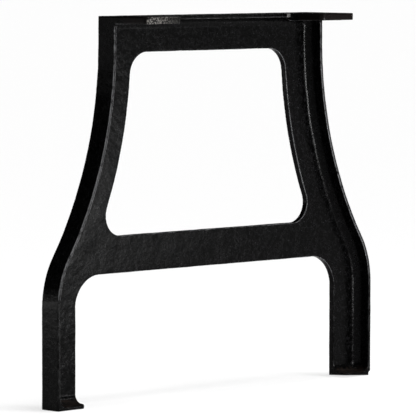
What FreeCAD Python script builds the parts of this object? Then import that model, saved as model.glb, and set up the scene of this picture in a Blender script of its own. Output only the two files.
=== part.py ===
import FreeCAD, Part
import math
import os
import Sketcher
from FreeCAD import Vector

# Trestle table leg, one iron casting: a flat A-shaped web with a rim standing up all round its outside,
# a sole under each foot and two ears at the top that take the table top's screws.
# X runs across the leg, Y through it with the ears towards -Y, Z up from the floor. Millimetres.
# Half of the pattern is modelled and then turned over, as a pattern maker would do.

doc = FreeCAD.newDocument("trestle_table_leg")

# Driving sizes: name, value, what it measures
sizes = [
    ("total_height", 710.0, "floor to the face under the table top"),
    ("foot_span", 827.0, "over the outsides of the feet"),
    ("top_span", 548.5, "over the outsides of the shoulders"),
    ("shoulder_drop", 51.5, "straight length below the top before the sides flare"),
    ("flare_radius", 706.0, "hollow curve of the outer side"),
    ("ankle_radius", 167.0, "round curve above the foot"),
    ("rim_depth", 44.0, "back of the web to the front of the rim"),
    ("web_thickness", 12.5, "flat wall between the rim and the openings"),
    ("rim_thickness", 6.0, "rim at its front edge"),
    ("top_rim_thickness", 8.0, "upper rim at its front edge"),
    ("sole_thickness", 6.5, "foot's sole at its front edge"),
    ("rim_draft", 4.0, "lean of the rim's inner wall that frees the pattern, degrees"),
    ("sole_draft", 5.0, "rise of the sole towards the web, degrees"),
    ("root_radius", 16.0, "hollow fillet where the pan's walls meet the web"),
    ("corner_ease", 2.0, "how much wider the pan's corners are than its root fillet"),
    ("member_width", 72.0, "web and rim beside the window"),
    ("window_sill", 306.5, "window's lower edge above the floor"),
    ("window_head", 67.5, "window's upper edge below the top"),
    ("window_top_radius", 44.0, "window's upper corners"),
    ("window_foot_radius", 38.0, "window's lower corners"),
    ("arch_height", 238.0, "underside of the cross bar above the floor"),
    ("foot_width", 72.5, "web and rim of each foot, to the arch between the feet"),
    ("arch_radius", 60.0, "arch's upper corners"),
    ("toe_radius", 15.0, "front inner corner of each sole, seen from above"),
    ("ear_reach", 128.0, "back of the web to the tip of each ear"),
    ("ear_width", 90.0, "ear across the leg"),
    ("ear_root", 15.0, "ear's thickness at the rim"),
    ("ear_taper", 2.0, "how much thinner the ear is at its tip"),
    ("ear_corner", 9.0, "ear's tip corners, seen from above"),
    ("ear_hollow", 12.0, "hollow corner between ear and upper rim, seen from above"),
    ("haunch_length", 20.0, "wedge that carries the ear's root back under the upper rim"),
    ("screw_hole", 8.0, "clearance hole for one of the top's screws"),
    ("screw_row", 19.0, "outer row of screw holes in from the ear's tip"),
    ("screw_pitch", 42.0, "between the two rows of screw holes"),
    ("arris_radius", 1.5, "rounded cast edges at the front"),
    ("edge_break", 0.8, "bevelled cast edges at the back, the top and under the ears"),
    ("chip_width", 5.0, "broken corner of the right foot, across the leg"),
    ("chip_height", 9.0, "broken corner of the right foot, up from the floor"),
    ("chip_depth", 5.0, "broken corner of the right foot, back from the rim's front"),
]
sheet = doc.addObject("Spreadsheet::Sheet", "Sizes")
for row, (alias, value, note) in enumerate(sizes, start=1):
    sheet.set(f"A{row}", note)
    sheet.set(f"B{row}", str(value))
    sheet.setAlias(f"B{row}", alias)
doc.recompute()


def size(alias):
    return float(sheet.get(alias))


body = doc.addObject("PartDesign::Body", "cast_leg")
body.Label = "cast_leg"


# Sketches on the body's own planes
def origin_plane(role):
    return next(plane for plane in body.Origin.OriginFeatures if plane.Role == role)


def new_sketch(name, role, offset=None):
    """Sketch on an origin plane; offset is a formula for its distance along the plane's normal."""
    sketch = body.newObject("Sketcher::SketchObject", name)
    sketch.AttachmentSupport = [(origin_plane(role), "")]
    sketch.MapMode = "FlatFace"
    if offset:
        sketch.setExpression("AttachmentOffset.Base.z", offset)
    return sketch


# How a sketch numbers the points of a line or arc, and its own axes
START, END, CENTRE = range(1, 4)
FLOOR_AXIS, MIDDLE_AXIS = range(-1, -3, -1)
ORIGIN = (FLOOR_AXIS, START)


class Outline:
    """Lines and arcs of one sketch, and the constraints that tie them to the sizes."""

    def __init__(self, sketch):
        self.sketch = sketch

    def line(self, start, end):
        return self.sketch.addGeometry(Part.LineSegment(Vector(*start, 0), Vector(*end, 0)), False)

    def circle(self, centre, radius):
        return self.sketch.addGeometry(Part.Circle(Vector(*centre, 0), Vector(0, 0, 1), radius), False)

    def arc(self, centre, radius, start, end):
        """Arc that turns anticlockwise between two angles in degrees."""
        circle = Part.Circle(Vector(*centre, 0), Vector(0, 0, 1), radius)
        arc = Part.ArcOfCircle(circle, math.radians(start), math.radians(end))
        return self.sketch.addGeometry(arc, False)

    def polygon(self, points):
        """Closed chain of lines through the points; the numbers of its lines come back in order."""
        lines = [self.line(start, end) for start, end in zip(points, points[1:] + points[:1])]
        for first, second in zip(lines, lines[1:] + lines[:1]):
            self.join(first, END, second, START)
        return lines

    def join(self, first, first_end, second, second_end, kind="Coincident"):
        self.sketch.addConstraint(Sketcher.Constraint(kind, first, first_end, second, second_end))

    def hold(self, kind, *items):
        self.sketch.addConstraint(Sketcher.Constraint(kind, *items))

    def bind(self, formula, kind, *items):
        """Constraint whose value, the last item, follows a formula of the sizes."""
        index = self.sketch.addConstraint(Sketcher.Constraint(kind, *items))
        self.sketch.setExpression(f"Constraints[{index}]", formula)


# Edges and faces are found by where they lie
def near(value, wanted, slack=0.05):
    return abs(value - wanted) < slack


def edges_where(feature, test):
    """Names of the edges whose points between the two ends all pass the test."""
    names = []
    for index, edge in enumerate(feature.Shape.Edges, start=1):
        if all(test(point) for point in edge.discretize(Number=7)[1:-1]):
            names.append(f"Edge{index}")
    return names


def faces_where(feature, test):
    """Names of the faces whose middle point and outward normal pass the test."""
    names = []
    for index, face in enumerate(feature.Shape.Faces, start=1):
        low_u, high_u, low_v, high_v = face.ParameterRange
        middle = ((low_u + high_u) / 2, (low_v + high_v) / 2)
        if test(face.valueAt(*middle), face.normalAt(*middle)):
            names.append(f"Face{index}")
    return names


# Features of the body
def pad(name, sketch, length, downwards=False):
    made = body.newObject("PartDesign::Pad", name)
    made.Profile = sketch
    made.Reversed = downwards
    made.setExpression("Length", length)
    doc.recompute()
    return made


def cut(name, sketch, length=None, forwards=False):
    """Pocket as deep as length, or right through."""
    made = body.newObject("PartDesign::Pocket", name)
    made.Profile = sketch
    made.Reversed = forwards
    if length:
        made.setExpression("Length", length)
    else:
        made.Type = "ThroughAll"
    doc.recompute()
    return made


def lean_faces(name, base, test, neutral_test, angle):
    """Draft that thickens the walls from the neutral face inwards. It needs a second pass to compute."""
    made = body.newObject("PartDesign::Draft", name)
    made.Base = (base, faces_where(base, test))
    made.NeutralPlane = (base, faces_where(base, neutral_test))
    made.Reversed = True
    made.setExpression("Angle", angle)
    doc.recompute()
    doc.recompute()
    return made


def round_edges(name, base, test, radius):
    made = body.newObject("PartDesign::Fillet", name)
    made.Base = (base, edges_where(base, test))
    made.setExpression("Radius", radius)
    doc.recompute()
    return made


def bevel_edges(name, base, test, width):
    made = body.newObject("PartDesign::Chamfer", name)
    made.Base = (base, edges_where(base, test))
    made.setExpression("Size", width)
    doc.recompute()
    return made


# Outer shape: its side is an ogee, a hollow flare that meets a round ankle at the same slope
top_z = size("total_height")
half_foot = size("foot_span") / 2
half_top = size("top_span") / 2
shoulder_z = top_z - size("shoulder_drop")
shoulder_formula = "Sizes.total_height - Sizes.shoulder_drop"
ogee_radii = size("flare_radius") + size("ankle_radius")
ogee_lean = math.acos(1 - (half_foot - half_top) / ogee_radii)
flare_centre = (half_top + size("flare_radius"), shoulder_z)
flare_formula = "Sizes.top_span / 2 + Sizes.flare_radius"
ankle_centre = (half_foot - size("ankle_radius"), shoulder_z - ogee_radii * math.sin(ogee_lean))


def draw_half_leg(sketch, side, side_formula, floor, floor_formula, head, head_formula):
    """Half of the outer shape, drawn in by side, from the height floor up to head below the top."""
    outline = Outline(sketch)
    flare = size("flare_radius") + side
    ankle = size("ankle_radius") - side
    foot_x = half_foot - side
    shoulder_x = half_top - side
    crown_z = top_z - head
    lean = math.degrees(ogee_lean)

    floor_line = outline.line((0, floor), (foot_x, floor))
    foot_line = outline.line((foot_x, floor), (foot_x, ankle_centre[1]))
    ankle_arc = outline.arc(ankle_centre, ankle, 0, lean)
    flare_arc = outline.arc(flare_centre, flare, 180, 180 + lean)
    shoulder_line = outline.line((shoulder_x, shoulder_z), (shoulder_x, crown_z))
    crown_line = outline.line((shoulder_x, crown_z), (0, crown_z))
    middle_line = outline.line((0, crown_z), (0, floor))

    outline.join(floor_line, END, foot_line, START)
    outline.join(foot_line, END, ankle_arc, START, "Tangent")
    outline.join(ankle_arc, END, flare_arc, END, "Tangent")
    outline.join(flare_arc, START, shoulder_line, START, "Tangent")
    outline.join(shoulder_line, END, crown_line, START)
    outline.join(crown_line, END, middle_line, START)
    outline.join(middle_line, END, floor_line, START)
    outline.hold("Horizontal", floor_line)
    outline.hold("Vertical", foot_line)
    outline.hold("Vertical", shoulder_line)
    outline.hold("Horizontal", crown_line)
    outline.hold("PointOnObject", middle_line, START, MIDDLE_AXIS)
    outline.hold("PointOnObject", middle_line, END, MIDDLE_AXIS)
    if floor:
        outline.bind(floor_formula, "DistanceY", *ORIGIN, floor_line, START, floor)
    else:
        outline.hold("PointOnObject", floor_line, START, FLOOR_AXIS)
    outline.bind(f"Sizes.foot_span / 2 - {side_formula}", "DistanceX", *ORIGIN, foot_line, START, foot_x)
    outline.bind(f"Sizes.top_span / 2 - {side_formula}", "DistanceX", *ORIGIN, crown_line, START, shoulder_x)
    outline.bind(f"Sizes.total_height - {head_formula}", "DistanceY", *ORIGIN, crown_line, START, crown_z)
    outline.bind(shoulder_formula, "DistanceY", *ORIGIN, flare_arc, CENTRE, shoulder_z)
    outline.bind(f"Sizes.flare_radius + {side_formula}", "Radius", flare_arc, flare)
    outline.bind(f"Sizes.ankle_radius - {side_formula}", "Radius", ankle_arc, ankle)


# Block: the outer shape, as deep as the rim
outer_sketch = new_sketch("outer_shape", "XZ_Plane")
draw_half_leg(outer_sketch, 0.0, "0", 0.0, "0", 0.0, "0")
pad("block", outer_sketch, "Sizes.rim_depth")

# Pan: hollowed from the front, which leaves the web, the rim and a sole under the foot
pan_sketch = new_sketch("pan_shape", "XZ_Plane", "Sizes.rim_depth")
draw_half_leg(
    pan_sketch,
    size("rim_thickness"),
    "Sizes.rim_thickness",
    size("sole_thickness"),
    "Sizes.sole_thickness",
    size("top_rim_thickness"),
    "Sizes.top_rim_thickness",
)
pan = cut("pan", pan_sketch, "Sizes.rim_depth - Sizes.web_thickness")

# Drafts: the sole rises and the pan's walls lean, so that the pattern lifts out of the sand
front_y = -size("rim_depth")
web_y = -size("web_thickness")
sole_z = size("sole_thickness")
crown_z = top_z - size("top_rim_thickness")
pan_depth = size("rim_depth") - size("web_thickness")
sole_rise = pan_depth * math.tan(math.radians(size("sole_draft")))
wall_lean = pan_depth * math.tan(math.radians(size("rim_draft")))


def is_rim_front(middle, normal):
    return near(normal.y, -1) and near(middle.y, front_y)


def is_sole_floor(middle, normal):
    return near(normal.z, 1) and near(middle.z, sole_z)


def is_pan_wall(middle, normal):
    in_pan = front_y < middle.y < web_y
    is_side = normal.x < -0.3 and middle.x > 1
    is_crown = near(normal.z, -1) and near(middle.z, crown_z)
    return in_pan and near(normal.y, 0) and (is_side or is_crown)


sole_draft = lean_faces("sole_draft", pan, is_sole_floor, is_rim_front, "Sizes.sole_draft")
rim_draft = lean_faces("rim_draft", sole_draft, is_pan_wall, is_rim_front, "Sizes.rim_draft")


# Pan corners and roots: hollow fillets all round the pan
def is_pan_corner(point):
    in_pan = front_y - 0.1 < point.y < web_y + 0.1
    under_crown = abs(point.z - crown_z) < wall_lean + 0.1
    at_shoulder = abs(point.x - (half_top - size("rim_thickness"))) < wall_lean + 0.1
    on_sole = -0.1 < point.z - sole_z < sole_rise + 0.1
    at_foot = abs(point.x - (half_foot - size("rim_thickness"))) < wall_lean + 0.1
    return in_pan and ((under_crown and at_shoulder) or (on_sole and at_foot))


def is_pan_root(point):
    return near(point.y, web_y) and point.x > 0.5


pan_corners = round_edges("pan_corners", rim_draft, is_pan_corner, "Sizes.root_radius + Sizes.corner_ease")
pan_roots = round_edges("pan_roots", pan_corners, is_pan_root, "Sizes.root_radius")

# Window: its side runs level with the flare, and its corners touch that side and the bars
sill_z = size("window_sill")
head_z = top_z - size("window_head")
window_side = size("flare_radius") + size("member_width")


def window_corner(radius, centre_z):
    """Centre of a window corner, and where it touches the window's side."""
    reach = window_side + radius
    drop = flare_centre[1] - centre_z
    centre_x = flare_centre[0] - math.sqrt(reach**2 - drop**2)
    share = window_side / reach
    touch_x = flare_centre[0] + (centre_x - flare_centre[0]) * share
    return (centre_x, centre_z), (touch_x, flare_centre[1] - drop * share)


def angle_from(centre, point):
    return math.degrees(math.atan2(point[1] - centre[1], point[0] - centre[0]))


foot_radius = size("window_foot_radius")
head_radius = size("window_top_radius")
foot_centre, foot_touch = window_corner(foot_radius, sill_z + foot_radius)
head_centre, head_touch = window_corner(head_radius, head_z - head_radius)
side_start = angle_from(flare_centre, head_touch) % 360
side_end = angle_from(flare_centre, foot_touch) % 360

window_sketch = new_sketch("window_shape", "XZ_Plane", "Sizes.rim_depth")
window = Outline(window_sketch)
sill_line = window.line((0, sill_z), (foot_centre[0], sill_z))
foot_arc = window.arc(foot_centre, foot_radius, -90, angle_from(foot_centre, foot_touch))
side_arc = window.arc(flare_centre, window_side, side_start, side_end)
head_arc = window.arc(head_centre, head_radius, angle_from(head_centre, head_touch), 90)
head_line = window.line((head_centre[0], head_z), (0, head_z))
middle_line = window.line((0, head_z), (0, sill_z))
window.join(sill_line, END, foot_arc, START, "Tangent")
window.join(foot_arc, END, side_arc, END, "Tangent")
window.join(side_arc, START, head_arc, START, "Tangent")
window.join(head_arc, END, head_line, START, "Tangent")
window.join(head_line, END, middle_line, START)
window.join(middle_line, END, sill_line, START)
window.hold("Horizontal", sill_line)
window.hold("Horizontal", head_line)
window.hold("PointOnObject", middle_line, START, MIDDLE_AXIS)
window.hold("PointOnObject", middle_line, END, MIDDLE_AXIS)
window.bind("Sizes.window_sill", "DistanceY", *ORIGIN, sill_line, START, sill_z)
window.bind("Sizes.total_height - Sizes.window_head", "DistanceY", *ORIGIN, head_line, END, head_z)
window.bind("Sizes.window_foot_radius", "Radius", foot_arc, foot_radius)
window.bind("Sizes.window_top_radius", "Radius", head_arc, head_radius)
window.bind("Sizes.flare_radius + Sizes.member_width", "Radius", side_arc, window_side)
window.bind(flare_formula, "DistanceX", *ORIGIN, side_arc, CENTRE, flare_centre[0])
window.bind(shoulder_formula, "DistanceY", *ORIGIN, side_arc, CENTRE, shoulder_z)
cut("window_cut", window_sketch)

# Arch: opens the space between the feet
arch_x = half_foot - size("foot_width")
arch_z = size("arch_height")
arch_radius = size("arch_radius")
arch_sketch = new_sketch("arch_shape", "XZ_Plane", "Sizes.rim_depth")
arch = Outline(arch_sketch)
arch_floor = arch.line((0, 0), (arch_x, 0))
arch_side = arch.line((arch_x, 0), (arch_x, arch_z - arch_radius))
arch_arc = arch.arc((arch_x - arch_radius, arch_z - arch_radius), arch_radius, 0, 90)
arch_line = arch.line((arch_x - arch_radius, arch_z), (0, arch_z))
arch_middle = arch.line((0, arch_z), (0, 0))
arch.join(arch_floor, END, arch_side, START)
arch.join(arch_side, END, arch_arc, START, "Tangent")
arch.join(arch_arc, END, arch_line, START, "Tangent")
arch.join(arch_line, END, arch_middle, START)
arch.join(arch_middle, END, arch_floor, START)
arch.hold("Horizontal", arch_floor)
arch.hold("Vertical", arch_side)
arch.hold("Horizontal", arch_line)
arch.hold("PointOnObject", arch_middle, START, MIDDLE_AXIS)
arch.join(arch_floor, START, *ORIGIN)
arch.bind("Sizes.foot_span / 2 - Sizes.foot_width", "DistanceX", *ORIGIN, arch_floor, END, arch_x)
arch.bind("Sizes.arch_height", "DistanceY", *ORIGIN, arch_middle, START, arch_z)
arch.bind("Sizes.arch_radius", "Radius", arch_arc, arch_radius)
arch_cut = cut("arch_cut", arch_sketch)


# Toe: the sole's front inner corner is round in plan
def is_toe_corner(point):
    return near(point.x, arch_x) and near(point.y, front_y) and point.z < sole_z + 0.1


toe = round_edges("toe", arch_cut, is_toe_corner, "Sizes.toe_radius")

# Ear: a flat lug that stands out past the rim, level with the top and thinner at its tip
ear_x = half_top - size("ear_width")
tip_y = -size("ear_reach")
root_z = top_z - size("ear_root")
tip_z = root_z + size("ear_taper")
ear_sketch = new_sketch("ear_shape", "XY_Plane", "Sizes.total_height")
ear_plan = Outline(ear_sketch)
ear_back, ear_outside, ear_end, ear_inside = ear_plan.polygon(
    [(ear_x, front_y), (half_top, front_y), (half_top, tip_y), (ear_x, tip_y)]
)
ear_plan.hold("Horizontal", ear_back)
ear_plan.hold("Horizontal", ear_end)
ear_plan.hold("Vertical", ear_outside)
ear_plan.hold("Vertical", ear_inside)
ear_plan.bind("Sizes.top_span / 2", "DistanceX", *ORIGIN, ear_outside, START, half_top)
ear_plan.bind("Sizes.ear_width", "DistanceX", ear_end, END, ear_end, START, size("ear_width"))
ear_plan.bind("Sizes.rim_depth", "DistanceY", ear_back, START, *ORIGIN, -front_y)
ear_plan.bind("Sizes.ear_reach", "DistanceY", ear_end, START, *ORIGIN, -tip_y)
pad("ear", ear_sketch, "Sizes.ear_root", downwards=True)

taper_sketch = new_sketch("taper_shape", "YZ_Plane")
taper = Outline(taper_sketch)
taper_level, taper_tip = taper.polygon([(front_y, root_z), (tip_y, root_z), (tip_y, tip_z)])[:2]
taper.hold("Horizontal", taper_level)
taper.hold("Vertical", taper_tip)
taper.bind("Sizes.rim_depth", "DistanceX", taper_level, START, *ORIGIN, -front_y)
taper.bind("Sizes.ear_reach", "DistanceX", taper_tip, START, *ORIGIN, -tip_y)
taper.bind("Sizes.total_height - Sizes.ear_root", "DistanceY", *ORIGIN, taper_level, START, root_z)
taper.bind("Sizes.ear_taper", "DistanceY", taper_tip, START, taper_tip, END, size("ear_taper"))
cut("taper_cut", taper_sketch, forwards=True)

# Haunch: the ear's root carried back under the upper rim as a wedge
haunch_y = front_y + size("haunch_length")
haunch_sketch = new_sketch("haunch_shape", "YZ_Plane", "Sizes.top_span / 2 - Sizes.ear_width")
haunch_outline = Outline(haunch_sketch)
haunch_front, haunch_top = haunch_outline.polygon(
    [(front_y, root_z), (front_y, crown_z), (haunch_y, crown_z)]
)[:2]
haunch_outline.hold("Vertical", haunch_front)
haunch_outline.hold("Horizontal", haunch_top)
haunch_outline.bind("Sizes.rim_depth", "DistanceX", haunch_front, START, *ORIGIN, -front_y)
haunch_outline.bind(
    "Sizes.haunch_length", "DistanceX", haunch_top, START, haunch_top, END, size("haunch_length")
)
haunch_outline.bind("Sizes.total_height - Sizes.ear_root", "DistanceY", *ORIGIN, haunch_front, START, root_z)
haunch_outline.bind(
    "Sizes.total_height - Sizes.top_rim_thickness", "DistanceY", *ORIGIN, haunch_top, START, crown_z
)
haunch = pad("haunch", haunch_sketch, "Sizes.ear_width - Sizes.rim_thickness / 2")


# Ear corners, seen from above: round at the tip, hollow where the ear leaves the upper rim
def is_ear_corner(point):
    return near(point.y, tip_y) and (near(point.x, ear_x) or near(point.x, half_top))


def is_ear_hollow(point):
    return near(point.x, ear_x) and near(point.y, front_y) and crown_z < point.z < top_z


ear_corners = round_edges("ear_corners", haunch, is_ear_corner, "Sizes.ear_corner")
ear_hollow = round_edges("ear_hollow", ear_corners, is_ear_hollow, "Sizes.ear_hollow")


# Arrises: every cast edge is a little round at the front and bevelled behind
def is_window_arris(point):
    beside = 0.5 < point.x < half_top
    return near(point.y, web_y) and beside and sill_z - 0.1 < point.z < head_z + 0.1


def is_arch_arris(point):
    beside = 0.5 < point.x < arch_x + 0.1
    behind_toe = front_y + size("toe_radius") + 0.01 < point.y < web_y + 0.05
    return beside and behind_toe and 0.1 < point.z < arch_z + 0.1


def is_outer_arris(point):
    return near(point.y, front_y) and point.x > half_top - 0.1 and 0.1 < point.z < root_z - 0.1


def is_back_edge(point):
    return near(point.y, 0) and point.x > half_top - 0.1 and point.z > 0.1


def is_under_ear(point):
    share = (front_y - point.y) / (front_y - tip_y)
    return share > 0.001 and near(point.z, root_z + size("ear_taper") * share)


def is_top_edge(point):
    return near(point.z, top_z) and point.x > 0.5


window_arris = round_edges("window_arris", ear_hollow, is_window_arris, "Sizes.arris_radius")
arch_arris = round_edges("arch_arris", window_arris, is_arch_arris, "Sizes.arris_radius")
outer_arris = round_edges("outer_arris", arch_arris, is_outer_arris, "Sizes.arris_radius")
back_bevel = bevel_edges("back_bevel", outer_arris, is_back_edge, "Sizes.edge_break")
ear_bevel = bevel_edges("ear_bevel", back_bevel, is_under_ear, "Sizes.edge_break")
bevel_edges("top_bevel", ear_bevel, is_top_edge, "Sizes.edge_break")

# Screw holes: two through each ear for the table top's screws
hole_x = half_top - size("ear_width") / 2
hole_sketch = new_sketch("hole_places", "XY_Plane", "Sizes.total_height")
holes = Outline(hole_sketch)
outer_row = size("ear_reach") - size("screw_row")
for row_reach, row_formula in (
    (outer_row, "Sizes.ear_reach - Sizes.screw_row"),
    (outer_row - size("screw_pitch"), "Sizes.ear_reach - Sizes.screw_row - Sizes.screw_pitch"),
):
    hole = holes.circle((hole_x, -row_reach), size("screw_hole") / 2)
    holes.bind("(Sizes.top_span - Sizes.ear_width) / 2", "DistanceX", *ORIGIN, hole, CENTRE, hole_x)
    holes.bind(row_formula, "DistanceY", hole, CENTRE, *ORIGIN, row_reach)
    holes.bind("Sizes.screw_hole / 2", "Radius", hole, size("screw_hole") / 2)
cut("screw_holes", hole_sketch)

# The other half is the same pattern turned over
whole = body.newObject("PartDesign::Mirrored", "whole")
whole.MirrorPlane = (origin_plane("YZ_Plane"), [""])
whole.TransformMode = "Whole shape"
body.Tip = whole
doc.recompute()

# Chip: a corner broken off the right foot, at the front of its rim
chip_x = half_foot - size("chip_width")
chip_lip = size("chip_height") * 2 / 3
chip_sketch = new_sketch("chip_shape", "XZ_Plane", "Sizes.rim_depth")
chip = Outline(chip_sketch)
chip_floor, chip_outside, chip_slope, chip_inside = chip.polygon(
    [(chip_x, 0), (half_foot, 0), (half_foot, size("chip_height")), (chip_x, chip_lip)]
)
chip.hold("PointOnObject", chip_floor, START, FLOOR_AXIS)
chip.hold("Horizontal", chip_floor)
chip.hold("Vertical", chip_outside)
chip.hold("Vertical", chip_inside)
chip.bind("Sizes.foot_span / 2", "DistanceX", *ORIGIN, chip_outside, START, half_foot)
chip.bind("Sizes.chip_width", "DistanceX", chip_floor, START, chip_floor, END, size("chip_width"))
chip.bind("Sizes.chip_height", "DistanceY", chip_outside, START, chip_outside, END, size("chip_height"))
chip.bind("Sizes.chip_height * 2 / 3", "DistanceY", chip_inside, END, chip_inside, START, chip_lip)
cut("chip_cut", chip_sketch, "Sizes.chip_depth")

# The part's frame: middle of the floor space that the casting takes up
body.setExpression("Placement.Base.y", "Sizes.ear_reach / 2")
doc.recompute()

# Checks before writing
for item in doc.Objects:
    if "Invalid" in item.State or "Error" in item.State:
        raise RuntimeError(f"{item.Name} did not compute: {item.State}")
if body.Shape.isNull() or not body.Shape.isValid() or len(body.Shape.Solids) != 1:
    raise RuntimeError("the casting is not one valid solid")

os.makedirs("parts", exist_ok=True)
body.Shape.exportStep(f"parts/{body.Label}.step")
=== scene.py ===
import bpy
import math
from mathutils import Euler, Matrix, Vector, noise


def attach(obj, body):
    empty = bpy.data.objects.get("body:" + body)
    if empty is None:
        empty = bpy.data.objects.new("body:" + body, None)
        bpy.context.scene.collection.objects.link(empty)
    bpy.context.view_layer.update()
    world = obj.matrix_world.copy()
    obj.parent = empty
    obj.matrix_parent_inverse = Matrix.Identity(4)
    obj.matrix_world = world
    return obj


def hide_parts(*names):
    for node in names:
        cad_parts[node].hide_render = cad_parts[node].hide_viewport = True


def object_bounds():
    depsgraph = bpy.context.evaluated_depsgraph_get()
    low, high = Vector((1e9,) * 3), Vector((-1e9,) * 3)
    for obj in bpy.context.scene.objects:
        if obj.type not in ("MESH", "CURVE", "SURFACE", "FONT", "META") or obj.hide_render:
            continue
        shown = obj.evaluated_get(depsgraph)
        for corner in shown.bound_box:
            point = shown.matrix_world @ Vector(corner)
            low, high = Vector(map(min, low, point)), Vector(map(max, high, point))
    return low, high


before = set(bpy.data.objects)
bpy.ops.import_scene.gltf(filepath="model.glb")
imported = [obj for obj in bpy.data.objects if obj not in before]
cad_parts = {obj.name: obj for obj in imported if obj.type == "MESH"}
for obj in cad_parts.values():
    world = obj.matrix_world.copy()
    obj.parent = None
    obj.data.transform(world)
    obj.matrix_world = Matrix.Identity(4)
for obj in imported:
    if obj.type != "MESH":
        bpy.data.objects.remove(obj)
cad_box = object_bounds()

# Camera: from the left front and a little above, far off with a long lens, as for a catalogue picture.
# Its place and aim were fitted to the corners and curves of the leg in the photograph.
lens_mm, sensor_mm = 327.3, 36.0
stand_point = (-4.9852, -4.9799, 0.8579)
look_down, look_right, camera_roll = 4.133, 44.717, 0.101     # degrees
sight_end = 500.0         # metres, past the edge of the floor

camera_data = bpy.data.cameras.new("camera")
camera_data.sensor_width = sensor_mm
camera_data.lens = lens_mm
camera_data.clip_end = sight_end
camera = bpy.data.objects.new("camera", camera_data)
camera.location = stand_point
aim = Euler((math.radians(90 - look_down), 0.0, math.radians(-look_right))).to_matrix()
camera.rotation_euler = (aim @ Matrix.Rotation(math.radians(camera_roll), 3, "Z")).to_euler()
bpy.context.collection.objects.link(camera)
bpy.context.scene.camera = camera


# Casting: the whole leg is one piece of grey iron, poured in a sand mould, fettled and painted black.
# The sand leaves a fine grain, lumps and slow waves under the paint; the paint is rubbed off at the
# arrises and on the end of the left ear. The paler arrises are partly a painted highlight along the
# edges, and a pale spot in the hollow of the right ear is a painted highlight. It stands on its own
# soles and is screwed on by its ears.
def linear(code):
    """Linear red, green, blue and alpha of an sRGB hex colour."""
    parts = [int(code[i:i + 2], 16) / 255 for i in (1, 3, 5)]
    return [p / 12.92 if p <= 0.04045 else ((p + 0.055) / 1.055) ** 2.4 for p in parts] + [1.0]


def add_node(tree, kind, links=None, **settings):
    """Adds a node with its settings; links gives each input a socket to follow or a value."""
    made = tree.nodes.new(kind)
    for name, value in settings.items():
        setattr(made, name, value)
    for name, value in (links or {}).items():
        if isinstance(value, bpy.types.NodeSocket):
            tree.links.new(value, made.inputs[name])
        else:
            made.inputs[name].default_value = value
    return made


# Sizes of the patterns, in mm. Moulding sand's grains are finer than one dot of the render (1.9 mm), so
# they are drawn six times coarser than they are.
sand_grain, times_coarser = 0.4, 6
lump_size = 5.9           # sand that clumped or washed off the mould wall
blotch_size = 8.3         # patches where the paint is thicker and shinier
wave_size = 36.0          # the mould wall's slow bulges
grain_rise, lump_rise, wave_rise = 0.16, 0.28, 0.7
plain_detail, blotch_detail = 2.0, 3.0      # finer layers in a pattern

# Oil paint on iron has an index of 1.5 and a roughness near 0.2. In a room as white as this one it
# would mirror more than the photograph shows, so its mirroring is turned down until the tones match.
mirroring = 0.033
smooth_gloss, rough_gloss, dull_top = 0.14, 0.23, 0.8         # roughness

# Colours. The photograph shows black paint with dust in the grain, bare iron and a little rust.
paint_black, dust_grey = linear("#020202"), linear("#101011")
# Pale colours of the arrises: worn paint and bare iron, and partly a painted highlight along the edges
thin_paint_and_painted_highlight, bare_iron_and_painted_highlight = linear("#444445"), linear("#777779")
ear_brown = linear("#0b0808")
# The last colour on the next line is a painted highlight: a pale spot in the hollow of the right ear
end_dark, end_bare, highlight_spot_grey = linear("#0e0e0d"), linear("#696663"), linear("#6c6b6a")
sole_rust = linear("#130e0b")

# Limits that the marks keep to, each from where a mark starts to where it is full: levels of a pattern
# or of the bend of the surface, which is 0.5 where that is flat
dusty_grain, dusty_blotch = (0.45, 0.70), (0.35, 0.60)
arris_bend, arris_blotch = (0.52, 0.56), (0.25, 0.50)
bare_grain, rust_blotch, gloss_blotch = (0.46, 0.64), (0.40, 0.60), (0.35, 0.70)
# How far a face looks up: 0 where it is upright, 1 where it is level and on top
top_lean, hollow_lean, sole_lean = (0.5, 0.9), (0.6, 0.3), (0.35, 0.70)
# Places on the leg, in metres
above_soles, above_feet, below_top = (0.014, 0.026), (0.17, 0.24), (0.703, 0.690)
ear_height, ear_front, ear_tip = (0.694, 0.698), (0.004, -0.010), (-0.0605, -0.0625)
left_half, left_corner = (0.0, -0.1), (-0.18, -0.265)
# Where the painted highlight sits, in the hollow at the root of the right ear
highlight_left, highlight_right = (0.1745, 0.1760), (0.1815, 0.1800)
highlight_depth, highlight_height = (0.0215, 0.0205), (0.6975, 0.6990)
sole_height = (0.030, 0.024)

iron = bpy.data.materials.new("painted_sand_cast_iron")
iron.use_nodes = True
iron_tree = iron.node_tree
paint = iron_tree.nodes["Principled BSDF"]
paint.inputs["Specular IOR Level"].default_value = mirroring

place = add_node(iron_tree, "ShaderNodeTexCoord").outputs["Object"]
spot = add_node(iron_tree, "ShaderNodeSeparateXYZ", {"Vector": place}).outputs
across, depth, height = spot["X"], spot["Y"], spot["Z"]
surface = add_node(iron_tree, "ShaderNodeNewGeometry").outputs
lean = add_node(iron_tree, "ShaderNodeSeparateXYZ", {"Vector": surface["Normal"]}).outputs["Z"]

patterns = []
for size, detail in (
    (sand_grain * times_coarser, plain_detail),
    (lump_size, plain_detail),
    (blotch_size, blotch_detail),
    (wave_size, plain_detail),
):
    cells = {"Vector": place, "Scale": 1000 / size, "Detail": detail}
    patterns.append(add_node(iron_tree, "ShaderNodeTexNoise", cells).outputs["Fac"])
grain, lumps, blotches, waves = patterns

# Relief: the lumps lie on the waves, and the grain on the lumps
relief = {}               # under the waves there is none
for unevenness, rise in ((waves, wave_rise), (lumps, lump_rise), (grain, grain_rise)):
    layer = {"Height": unevenness, "Distance": rise / 1000, **relief}
    relief = {"Normal": add_node(iron_tree, "ShaderNodeBump", layer).outputs["Normal"]}
iron_tree.links.new(relief["Normal"], paint.inputs["Normal"])


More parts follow.
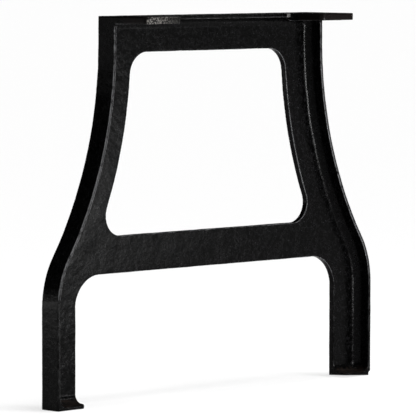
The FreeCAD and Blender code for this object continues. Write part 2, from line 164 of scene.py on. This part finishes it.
def lay_mark(under, mark, limits):
    """Lays a mark's colour on what is under it, where each measure is within its limits."""
    share = 1.0
    for measure, (start, full) in limits:
        ramp = {"Value": measure, "From Min": start, "From Max": full}
        inside = add_node(iron_tree, "ShaderNodeMapRange", ramp, interpolation_type="SMOOTHSTEP")
        both = {0: share, 1: inside.outputs["Result"]}
        share = add_node(iron_tree, "ShaderNodeMath", both, operation="MULTIPLY").outputs[0]
    layers = {0: share, 6: under, 7: mark}
    return add_node(iron_tree, "ShaderNodeMix", layers, data_type="RGBA").outputs[2]


# Colour: dust in the grain, arrises worn bare and partly painted as a highlight, the brown ears, the
# bare end of the left one, a painted highlight in the hollow of the right one, and the rusty soles
colour = lay_mark(paint_black, dust_grey, [(grain, dusty_grain), (blotches, dusty_blotch)])
# The arrises are paler: rubbed paint, and partly a painted highlight along the edges
arris = [(surface["Pointiness"], arris_bend), (blotches, arris_blotch)]
colour = lay_mark(colour, thin_paint_and_painted_highlight, arris + [(height, above_soles)])
colour = lay_mark(colour, bare_iron_and_painted_highlight, arris + [(height, above_feet), (height, below_top)])
ears = [(height, ear_height), (depth, ear_front)]
colour = lay_mark(colour, ear_brown, ears)
left_end = lay_mark(end_dark, end_bare, [(grain, bare_grain), (across, left_corner)])
colour = lay_mark(colour, left_end, ears + [(depth, ear_tip), (across, left_half)])
# A painted highlight: a pale spot in the hollow at the root of the right ear
highlight_spot = [(across, highlight_left), (across, highlight_right), (depth, highlight_depth), (height, highlight_height)]
colour = lay_mark(colour, highlight_spot_grey, highlight_spot + [(lean, hollow_lean)])
colour = lay_mark(colour, sole_rust, [(height, sole_height), (lean, sole_lean), (blotches, rust_blotch)])
iron_tree.links.new(colour, paint.inputs["Base Color"])

# Gloss: blotchy, and dull on faces that look up, where dust settles
blotchy = {"Value": blotches, "From Min": gloss_blotch[0], "From Max": gloss_blotch[1]}
blotchy.update({"To Min": smooth_gloss, "To Max": rough_gloss})
gloss = add_node(iron_tree, "ShaderNodeMapRange", blotchy).outputs["Result"]
upward = {"Value": lean, "From Min": top_lean[0], "From Max": top_lean[1]}
settled = add_node(iron_tree, "ShaderNodeMapRange", upward, interpolation_type="SMOOTHSTEP")
dusted = {0: settled.outputs["Result"], 2: gloss, 3: dull_top}
iron_tree.links.new(add_node(iron_tree, "ShaderNodeMix", dusted).outputs[0], paint.inputs["Roughness"])

# Shape: the CAD leg in small facets, its arrises softened as cast iron has them, a little uneven all
# over, and with the right foot's sole worn towards its inner side and most at the toe
facet_size = 0.0014       # metres, as all sizes below
one_corner = 0.00001      # corners closer than this become one
edge_passes, edge_share = 1, 0.5            # softening passes, and how far each one goes
most_facets = 190000
swell = [(0.035, 0.00035), (0.011, 0.00015)]      # wave length and height of the unevenness
skin = 0.00001            # keeps the casting just inside the CAD's box
foot_inside, foot_front, foot_worn = 0.330, 0.020, 0.014      # the worn part of the right foot
side_lift, toe_lift = 0.0026, 0.0032              # wear at its inner side, and more at the toe


def with_modifiers(thing):
    """The mesh of an object with its modifiers applied."""
    return bpy.data.meshes.new_from_object(thing.evaluated_get(bpy.context.evaluated_depsgraph_get()))


rough_leg = bpy.data.objects.new("rough_leg", bpy.data.objects["cast_leg"].data)
bpy.context.collection.objects.link(rough_leg)
rough_leg.modifiers.new("weld", "WELD").merge_threshold = one_corner
remesh = rough_leg.modifiers.new("remesh", "REMESH")
remesh.mode, remesh.voxel_size = "VOXEL", facet_size
soften = rough_leg.modifiers.new("soften", "SMOOTH")
soften.factor, soften.iterations = edge_share, edge_passes
casting = with_modifiers(rough_leg)
bpy.data.objects.remove(rough_leg)

low_corner, high_corner = cad_box
moved = []
for vertex in casting.vertices:
    bulge = sum(rise * noise.noise(vertex.co / length) for length, rise in swell)
    point = vertex.co + vertex.normal * bulge
    if point.x > foot_inside and point.z < foot_worn:
        inward = (high_corner[0] - point.x) / (high_corner[0] - foot_inside)
        forward = (high_corner[1] - point.y) / (high_corner[1] - foot_front)
        point.z += inward * (side_lift + toe_lift * forward) * (1 - point.z / foot_worn)
    moved += [min(max(point[k], low_corner[k] + skin), high_corner[k] - skin) for k in range(3)]
casting.vertices.foreach_set("co", moved)
casting.update()

leg = bpy.data.objects.new("leg_casting", casting)
bpy.context.collection.objects.link(leg)
# The facets are four-sided here, and each counts as two once it is thinned
leg.modifiers.new("thin", "DECIMATE").ratio = min(1.0, most_facets / (2 * len(casting.polygons)))
leg.data = with_modifiers(leg)
leg.modifiers.clear()
leg.data.shade_smooth()
leg.data.materials.clear()
leg.data.materials.append(iron)
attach(leg, "root")
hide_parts("cast_leg")

# Floor: a wide sheet of white paper. Seen by the camera or mirrored in the paint it is 0.7 white light,
# as bright as the room; the rest is lit by the lamps and keeps the leg's shadow.
floor_reach = 150.0
paper_white, own_light = "#fdfdfd", 0.7
paper_roughness, paper_mirroring = 0.9, 0.1

floor_mesh = bpy.data.meshes.new("floor")
corners = [(x * floor_reach, y * floor_reach, 0.0) for x, y in ((-1, -1), (1, -1), (1, 1), (-1, 1))]
floor_mesh.from_pydata(corners, [], [(0, 1, 2, 3)])
floor = bpy.data.objects.new("floor", floor_mesh)
bpy.context.collection.objects.link(floor)
paper = bpy.data.materials.new("white_paper")
paper.use_nodes = True
paper_tree = paper.node_tree
sheet = paper_tree.nodes["Principled BSDF"]
sheet.inputs["Base Color"].default_value = linear(paper_white)
sheet.inputs["Roughness"].default_value = paper_roughness
sheet.inputs["Specular IOR Level"].default_value = paper_mirroring
ray = add_node(paper_tree, "ShaderNodeLightPath").outputs
rays = {0: ray["Is Glossy Ray"], 1: ray["Is Transmission Ray"]}
mirrored = add_node(paper_tree, "ShaderNodeMath", rays, operation="ADD").outputs[0]
rays = {0: ray["Is Camera Ray"], 1: mirrored}
seen = add_node(paper_tree, "ShaderNodeMath", rays, operation="ADD", use_clamp=True).outputs[0]
share = add_node(paper_tree, "ShaderNodeMath", {0: seen, 1: own_light}, operation="MULTIPLY").outputs[0]
white = add_node(paper_tree, "ShaderNodeEmission", {"Color": linear("#ffffff"), "Strength": 1.0})
layers = {0: share, 1: sheet.outputs["BSDF"], 2: white.outputs["Emission"]}
lit_sheet = add_node(paper_tree, "ShaderNodeMixShader", layers).outputs["Shader"]
paper_tree.links.new(lit_sheet, paper_tree.nodes["Material Output"].inputs["Surface"])
floor.data.materials.append(paper)

# Room: white walls all round, up to a little above the camera, and a dim ceiling, so that the paint
# mirrors white from the sides and dark from above.
wall_top, ceiling_start = 0.03, 0.15        # heights as sines of the angle upwards
wall_light, ceiling_light = 1.0, 0.02

room = bpy.data.worlds.new("studio")
bpy.context.scene.world = room
room.use_nodes = True
room_tree = room.node_tree
walls = room_tree.nodes["Background"]
walls.inputs["Color"].default_value = linear("#ffffff")
way = add_node(room_tree, "ShaderNodeTexCoord").outputs["Generated"]
up = add_node(room_tree, "ShaderNodeSeparateXYZ", {"Vector": way}).outputs["Z"]
dimming = {"Value": up, "From Min": wall_top, "From Max": ceiling_start}
dimming.update({"To Min": wall_light, "To Max": ceiling_light})
light = add_node(room_tree, "ShaderNodeMapRange", dimming).outputs["Result"]
room_tree.links.new(light, walls.inputs["Strength"])

# Lamps: soft boxes in front, to the right of the leg, one low behind its left foot, and a broad soft
# light overhead that makes the faint shadow on the floor.
overhead_light, overhead_spread = 3.1, 25         # spread in degrees
overhead_place, leg_foot = (0.5, -0.4, 3.0), (0.0, 0.0, 0.0)


def place_lamp(name, kind, power, location, aim_at, **settings):
    """Places a lamp that shines at a point."""
    data = bpy.data.lights.new(name, kind)
    data.energy = power
    for key, value in settings.items():
        setattr(data, key, value)
    lamp = bpy.data.objects.new(name, data)
    lamp.location = location
    beam = Vector(aim_at) - Vector(location)
    lamp.rotation_euler = beam.to_track_quat("-Z", "Y").to_euler()
    bpy.context.collection.objects.link(lamp)


for name, power, location, aim_at, width, tall in (
    # shine down the right member's root
    ("tall_strip", 40.0, (0.75, -2.0, 0.34), (0.1, 0.0, 0.34), 0.14, 0.56),
    # glints in the grain on the left
    ("small_box", 14.0, (1.19, -2.2, 0.21), (-0.2, 0.0, 0.25), 0.4, 0.4),
    # sheen on the cross bar's left
    ("side_box", 2.2, (1.86, -2.2, 0.18), (-0.25, 0.0, 0.3), 0.3, 0.34),
    # light on the right foot
    ("high_box", 26.0, (1.6, -1.9, 2.1), (0.0, 0.0, 0.2), 0.7, 0.7),
    # sheen on the left foot's side
    ("low_strip", 3.6, (-1.9, 1.5, 0.12), (-0.41, 0.0, 0.12), 1.0, 0.2),
):
    place_lamp(name, "AREA", power, location, aim_at, shape="RECTANGLE", size=width, size_y=tall)
spread = math.radians(overhead_spread)
place_lamp("overhead", "SUN", overhead_light, overhead_place, leg_foot, angle=spread)

bpy.context.scene.view_settings.view_transform = "Standard"
